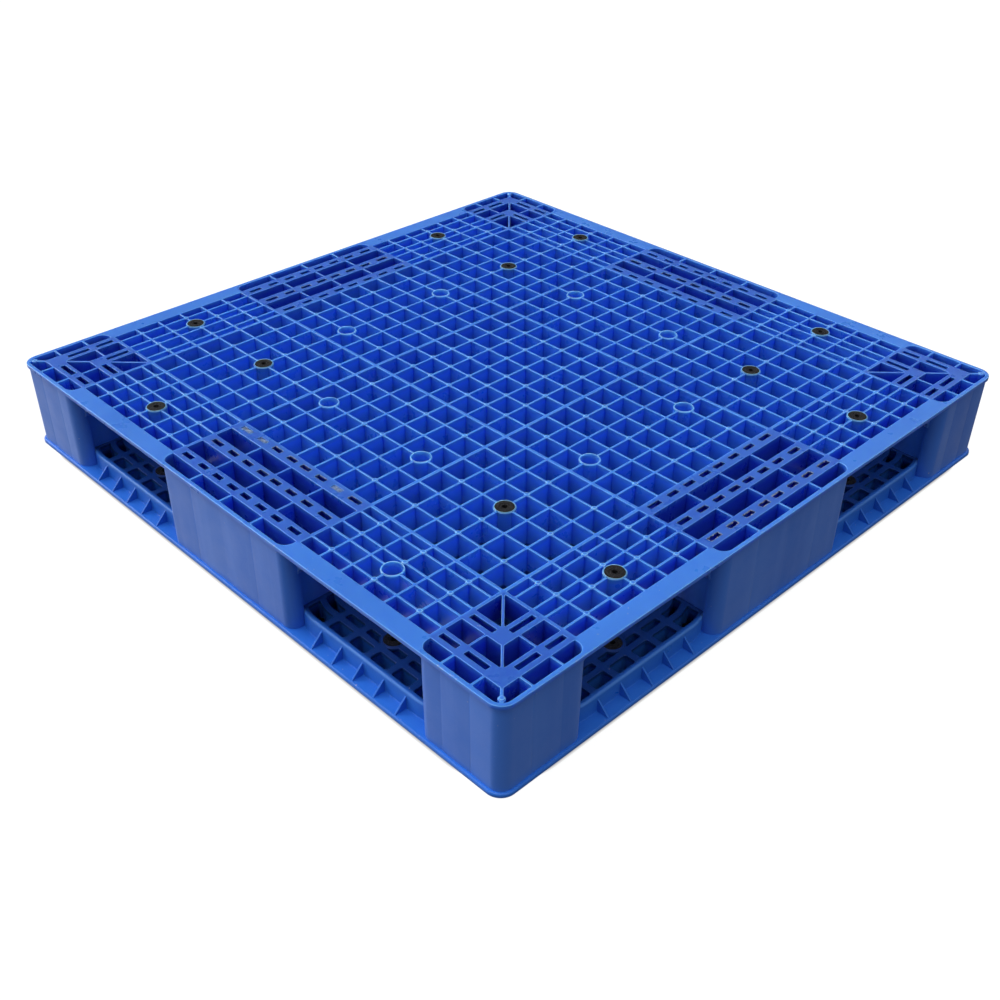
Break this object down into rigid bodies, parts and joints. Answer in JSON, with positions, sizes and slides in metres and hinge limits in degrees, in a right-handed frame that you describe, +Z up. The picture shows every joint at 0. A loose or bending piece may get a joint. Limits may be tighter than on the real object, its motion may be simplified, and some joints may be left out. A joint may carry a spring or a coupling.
{
  "type": "plastic pallet",
  "caption": "Square double-faced plastic pallet: open ribbed deck on hollow legs over a flanged base panel, fork entry on every side, rubber anti-slip plugs.",
  "frame": {"origin": "middle of the underside, on the floor plane", "axes": "+Z up through the deck, +X to the right and -Y to the front, each square to one side of the pallet"},
  "size_m": [1.2, 1.2, 0.1612],
  "materials": {
    "deck_blue": "semi-matt moulded polyethylene with scuffed edges",
    "leg_blue": "matt moulded polyethylene with faint upright flow streaks",
    "base_blue": "semi-matt moulded polyethylene",
    "plug_rubber": "matt black rubber, slightly dusty"
  },
  "bodies": {
    "root": {"top_deck": "deck_blue", "leg_front_left": "leg_blue", "leg_front_middle": "leg_blue", "leg_front_right": "leg_blue", "leg_middle_left": "leg_blue", "leg_centre": "leg_blue", "leg_middle_right": "leg_blue", "leg_back_left": "leg_blue", "leg_back_middle": "leg_blue", "leg_back_right": "leg_blue", "bottom_deck": "base_blue", "top_plug_01": "plug_rubber", "top_plug_02": "plug_rubber", "top_plug_03": "plug_rubber", "top_plug_04": "plug_rubber", "top_plug_05": "plug_rubber", "top_plug_06": "plug_rubber", "top_plug_07": "plug_rubber", "top_plug_09": "plug_rubber", "top_plug_10": "plug_rubber", "top_plug_11": "plug_rubber", "top_plug_12": "plug_rubber", "bottom_plug_01": "plug_rubber", "bottom_plug_02": "plug_rubber", "bottom_plug_03": "plug_rubber", "bottom_plug_04": "plug_rubber", "bottom_plug_05": "plug_rubber", "bottom_plug_06": "plug_rubber", "bottom_plug_07": "plug_rubber", "bottom_plug_08": "plug_rubber", "bottom_plug_09": "plug_rubber", "bottom_plug_10": "plug_rubber", "bottom_plug_11": "plug_rubber", "bottom_plug_12": "plug_rubber"}
  },
  "joints": []
}
